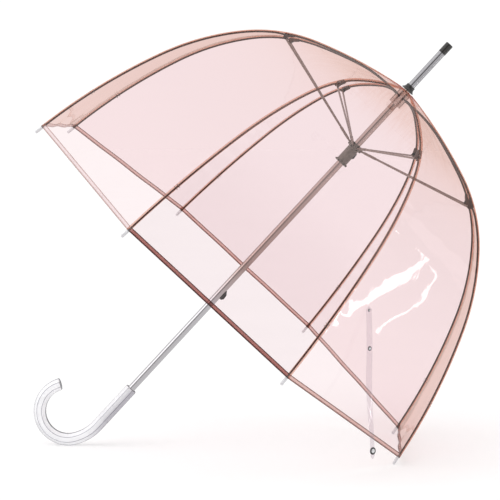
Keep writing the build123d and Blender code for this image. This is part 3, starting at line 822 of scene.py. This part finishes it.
def handle_stations():
    """Places along the bar from its top to its end, each with its outward direction."""
    stations = [(0, HANDLE_TOP - HANDLE_EDGE - d, 1, 0) for d in (0, 20, 40, 60, 80)]
    reach = EASE_RADIUS - HOOK_RADIUS
    turn = radians(EASE_TURN)
    ease_centre = (-EASE_RADIUS, HANDLE_BEND_Z)
    hook_centre = (reach * cos(turn) - EASE_RADIUS, HANDLE_BEND_Z - reach * sin(turn))
    bends = (
        (ease_centre, EASE_RADIUS, 0, EASE_TURN, 14),
        (hook_centre, HOOK_RADIUS, EASE_TURN, HOOK_SWEEP, 70),
    )
    for centre, radius, first, last, count in bends:
        for i in range(count):
            a = -radians(first + (last - first) * (i + 1) / count)
            stations.append((centre[0] + radius * cos(a), centre[1] + radius * sin(a), cos(a), sin(a)))
    return stations


def handle_ring(station, section, along=0.0):
    """A section set square to the bar at a station, moved on along the bar."""
    x, z, nx, nz = station
    x += along * nz
    z -= along * nx
    return [place(x + nx * a, b, z + nz * a) for a, b in section]


def make_handle():
    """Hooked clear bar with rounded edges, bored for the shaft."""
    top = (0, HANDLE_TOP, 1, 0)
    stations = handle_stations()
    rings = [
        handle_ring((0, SHAFT_BOTTOM, 1, 0), bore_section()),
        handle_ring(top, bore_section()),
        handle_ring(top, handle_section(HANDLE_EDGE)),
    ]
    rings += [handle_ring(station, handle_section(0)) for station in stations[:-1]]
    rings.append(handle_ring(stations[-1], handle_section(0), -HANDLE_EDGE))
    rings.append(handle_ring(stations[-1], handle_section(HANDLE_EDGE)))
    piece = tube_mesh("handle_bar", rings, materials["handle"])
    layer = piece.data.uv_layers.new(name="bar")
    count = len(rings[0])
    for face in piece.data.polygons:
        columns = [piece.data.loops[i].vertex_index % count for i in face.loop_indices]
        wraps = max(columns) - min(columns) > count / 2
        for i in face.loop_indices:
            row, column = divmod(piece.data.loops[i].vertex_index, count)
            column += count if wraps and column == 0 else 0
            layer.data[i].uv = ((column + 4.5) / CORNER_POINTS, row * 0.0025)
    soften(piece, 30)
    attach(piece, "shaft")
    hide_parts("handle")


make_handle()


# ---------------------------------------------------------------- strap

STRAP_WIDTH = 11
STRAP_THICKNESS = 0.5
STRAP_BOW = 1.6
STRAP_LEAN = 9.0
STRAP_TWIST = 14
# Half of the strip's rounded section: places across it in half widths, heights in thicknesses.
STRAP_SECTION = ((-1, 0.35), (-0.92, 0.5), (0, 0.5), (0.92, 0.5), (1, 0.35))
RIVET_DROP = 5.5
MIDDLE_STUD_DROP = 61.5
LOWER_STUD_RISE = 12


def strap():
    """Strip that hangs from its rivet: a little bowed and twisted, with rounded ends."""
    low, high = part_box("tie_strap")
    centre = (low + high) / 2
    length = (high.z - low.z) / MM
    facing = Vector((high.y - low.y, low.x - high.x, 0)).normalized()
    across = Vector((-facing.y, facing.x, 0))

    def hanging_place(down):
        """Middle of the strip at a distance below its top."""
        f = down / length
        bow = STRAP_BOW * sin(pi * f) * sin(2.4 * pi * f + 0.4)
        offset = facing * bow + across * STRAP_LEAN * f * f
        return Vector((centre.x, centre.y, high.z - down * MM)) + offset * MM

    section = STRAP_SECTION + tuple((-v, -w) for v, w in STRAP_SECTION)
    rows = 60
    rings = []
    for i in range(rows):
        f = i / (rows - 1)
        u = f * length
        twist = radians(STRAP_TWIST) * f * sin(1.6 * pi * f)
        end = min(u, length - u)
        half = STRAP_WIDTH / 2
        if end < half:
            half = max(0.8, sqrt(half * half - (half - end) ** 2))
        side = across * cos(twist) + facing * sin(twist)
        flat = facing * cos(twist) - across * sin(twist)
        middle = hanging_place(u)
        rings.append([
            middle + (side * v * half + flat * w * STRAP_THICKNESS) * MM for v, w in section
        ])
    piece = tube_mesh("strap_strip", rings, materials["strap"])
    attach(piece, "strap")
    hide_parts("tie_strap")
    studs = []
    for name, down, big in (
        ("stud_lower", length - LOWER_STUD_RISE, 1.15),
        ("stud_middle", MIDDLE_STUD_DROP, 0.7),
        ("rivet", RIVET_DROP, 0.45),
    ):
        studs += stud(name, hanging_place(down), facing, across, big)


def turned(name, profile, centre, axis, side, material):
    """Closed round piece: a profile of (radius, height) turned about an axis."""
    segments = 32
    up = axis.cross(side)
    rings = []
    for radius, height in profile:
        reach = max(radius, 0.05)
        ring = []
        for j in range(segments):
            a = 2 * pi * j / segments
            ring.append(centre + (axis * height + (side * cos(a) + up * sin(a)) * reach) * MM)
        rings.append(ring)
    piece = tube_mesh(name, rings, material)
    soften(piece)
    return piece


# Profiles of a press stud's parts, as (radius, height) from the strip's middle.
STUD_RIM = [
    (2.2, 0.2), (4.6, 0.2), (4.9, 0.6), (4.7, 1.3), (4.0, 1.6), (3.2, 1.4), (2.8, 0.9), (2.2, 0.8)
]
STUD_DOME = [(2.9, 0.3), (2.9, 1.1), (2.5, 1.8), (1.5, 2.1), (0.7, 1.7), (0.0, 1.6)]
STUD_BACK = [(0.0, -1.0), (3.4, -1.0), (4.2, -0.7), (4.2, -0.25), (0.0, -0.25)]


def stud(name, spot, facing, across, big):
    """Press stud: a dark ring around a white dome, and its back plate behind the strip."""
    made = []
    for part, profile, material in (
        ("rim", STUD_RIM, "snap_dark"),
        ("dome", STUD_DOME, "snap_white"),
        ("back", STUD_BACK, "snap_white"),
    ):
        shape = [(r * big, h * big) for r, h in profile]
        piece = turned(f"{name}_{part}", shape, spot, facing, across, materials[material])
        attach(piece, "strap")
        made.append(piece)
    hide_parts("strap_snaps")
    return made


strap()


# ---------------------------------------------------------------- camera, floor and light

# Place from the origin of the local places, turn and drop of the view, and the lens as a share of
# the sensor's width: the camera that was fitted to the object's rim, shaft and ferrule.
CAMERA_PLACE = (0.19167, -3.20295, 0.17905)
CAMERA_TURN = radians(3.859)
CAMERA_DROP = radians(3.364)
SENSOR = 36.0
FOCAL_SHARE = 3.97774


def make_camera():
    data = bpy.data.cameras.new("camera")
    data.sensor_width = SENSOR
    data.lens = SENSOR * FOCAL_SHARE
    data.clip_end = 200
    camera = bpy.data.objects.new("camera", data)
    bpy.context.scene.collection.objects.link(camera)
    camera.location = ORIGIN + Vector(CAMERA_PLACE)
    look = Vector((
        -sin(CAMERA_TURN) * cos(CAMERA_DROP),
        cos(CAMERA_TURN) * cos(CAMERA_DROP),
        -sin(CAMERA_DROP),
    ))
    camera.rotation_mode = "QUATERNION"
    camera.rotation_quaternion = look.to_track_quat("-Z", "Y")
    bpy.context.scene.camera = camera


FLOOR_RADIUS = 60.0
FLOOR_GLOW = 0.34
FLOOR_MIRRORED = 0.78


def make_floor():
    """Pale floor that glows a little, and looks dimmer in reflections."""
    count = 96
    angles = [2 * pi * i / count for i in range(count)]
    verts = [(FLOOR_RADIUS * cos(a), FLOOR_RADIUS * sin(a), 0) for a in angles]
    s = Shader("pale_floor")
    body = s.add("ShaderNodeBsdfPrincipled", Roughness=0.9)
    tint = s.ramp(s.noise(3.0, 2.0), [(0.3, (0.68, 0.68, 0.68)), (0.7, (0.695, 0.695, 0.695))])
    s.join(tint, body.inputs["Base Color"])
    body.inputs["Specular IOR Level"].default_value = 0.0
    body.inputs["Emission Color"].default_value = WHITE
    body.inputs["Emission Strength"].default_value = FLOOR_GLOW
    dim = s.add("ShaderNodeEmission", Strength=FLOOR_MIRRORED)
    path = s.add("ShaderNodeLightPath")
    material = s.show_mixed(path.outputs["Is Glossy Ray"], body, dim)
    floor = new_object("floor", verts, [tuple(range(count))], material, smooth=False)


def new_light(name, kind, energy, turn):
    """A light that the camera doesn't see, turned by a quaternion."""
    data = bpy.data.lights.new(name, kind)
    data.energy = energy
    light = bpy.data.objects.new(name, data)
    bpy.context.scene.collection.objects.link(light)
    light.rotation_mode = "QUATERNION"
    light.rotation_quaternion = turn
    light.visible_camera = False
    return light


def size_rectangle(light, width, height):
    light.data.shape = "RECTANGLE"
    light.data.size = width
    light.data.size_y = height


def area_light(name, spot, target, width, height, power):
    turn = (Vector(target) - Vector(spot)).to_track_quat("-Z", "Y")
    light = new_light(name, "AREA", power, turn)
    light.location = spot
    size_rectangle(light, width, height)


BACKDROP = 1.048


def make_world():
    """White to the eye. For light and reflections it is brighter above and at the upper left, grey
    at the sides and dark around the camera's side, as in a studio."""
    world = bpy.data.worlds.new("studio")
    bpy.context.scene.world = world
    world.use_nodes = True
    nodes, links = world.node_tree.nodes, world.node_tree.links
    nodes.clear()

    def math(operation, first, second):
        node = nodes.new("ShaderNodeMath")
        node.operation = operation
        for slot, value in zip(node.inputs, (first, second)):
            if isinstance(value, float):
                slot.default_value = value
            else:
                links.new(value, slot)
        return node.outputs[0]

    where = nodes.new("ShaderNodeTexCoord").outputs["Generated"]

    def lobe(towards, first, last):
        """Nought outside a cone about a direction, one in its middle."""
        product = nodes.new("ShaderNodeVectorMath")
        product.operation = "DOT_PRODUCT"
        links.new(where, product.inputs[0])
        product.inputs[1].default_value = tuple(Vector(towards).normalized())
        span = nodes.new("ShaderNodeMapRange")
        span.interpolation_type = "SMOOTHSTEP"
        span.inputs["From Min"].default_value = first
        span.inputs["From Max"].default_value = last
        links.new(product.outputs["Value"], span.inputs["Value"])
        return span.outputs["Result"]

    above = math("MULTIPLY_ADD", lobe((0, 0, 1), -0.1, 0.6), 0.54)
    above.node.inputs[2].default_value = 0.3
    dark = math("MULTIPLY", lobe((0.15, -1, 0.1), 0.82, 0.97), 0.75)
    bright = math("MULTIPLY", lobe((-0.75, -0.25, 0.6), 0.78, 0.9), 0.25)
    kept = math("SUBTRACT", 1.0, dark)
    level = math("ADD", math("MULTIPLY", above, kept), bright)
    lit = nodes.new("ShaderNodeBackground")
    links.new(level, lit.inputs["Strength"])
    lit.inputs["Color"].default_value = WHITE
    seen = nodes.new("ShaderNodeBackground")
    seen.inputs["Color"].default_value = WHITE
    seen.inputs["Strength"].default_value = BACKDROP
    path = nodes.new("ShaderNodeLightPath")
    mix = nodes.new("ShaderNodeMixShader")
    links.new(path.outputs["Is Camera Ray"], mix.inputs[0])
    links.new(lit.outputs[0], mix.inputs[1])
    links.new(seen.outputs[0], mix.inputs[2])
    output = nodes.new("ShaderNodeOutputWorld")
    links.new(mix.outputs[0], output.inputs["Surface"])


CANOPY_MIDDLE = Vector((0.2, -0.28, 0.28))


def strip_light(name, start, end, width, glow):
    """Long narrow light between two places, turned to the near side of the canopy. It gives the
    bright streaks on the near film."""
    start, end = Vector(start), Vector(end)
    middle = (start + end) / 2
    length = (end - start).length
    along = (end - start).normalized()
    towards = CANOPY_MIDDLE - middle
    towards = (towards - towards.dot(along) * along).normalized()
    back = -towards
    turn = Matrix((along, back.cross(along), back)).transposed().to_quaternion()
    light = new_light(name, "AREA", glow * pi * length * width, turn)
    light.location = middle
    size_rectangle(light, length, width)


def soft_sun(name, towards, spread, strength):
    """Even light from one direction, wide enough that its shadows are faint."""
    light = new_light(name, "SUN", strength, Vector(towards).to_track_quat("-Z", "Y"))
    light.data.angle = radians(spread)
    light.visible_glossy = False


make_camera()
make_floor()
make_world()
soft_sun("overhead", (0.35, 0.4, -1), 70, 0.75)
area_light("left_soft", (-2.6, -1.4, 1.4), (0, 0, 0.35), 1.2, 1.8, 8)
strip_light("low_right", (0.522, -0.327, 0.011), (1.36, 0.101, 0.204), 0.012, 5)
strip_light("low_right_thin", (0.62, -0.215, 0.024), (1.38, 0.096, 0.151), 0.004, 5)
scene = bpy.context.scene
scene.view_settings.view_transform = "Standard"
scene.cycles.transparent_max_bounces = 40
scene.cycles.max_bounces = 16
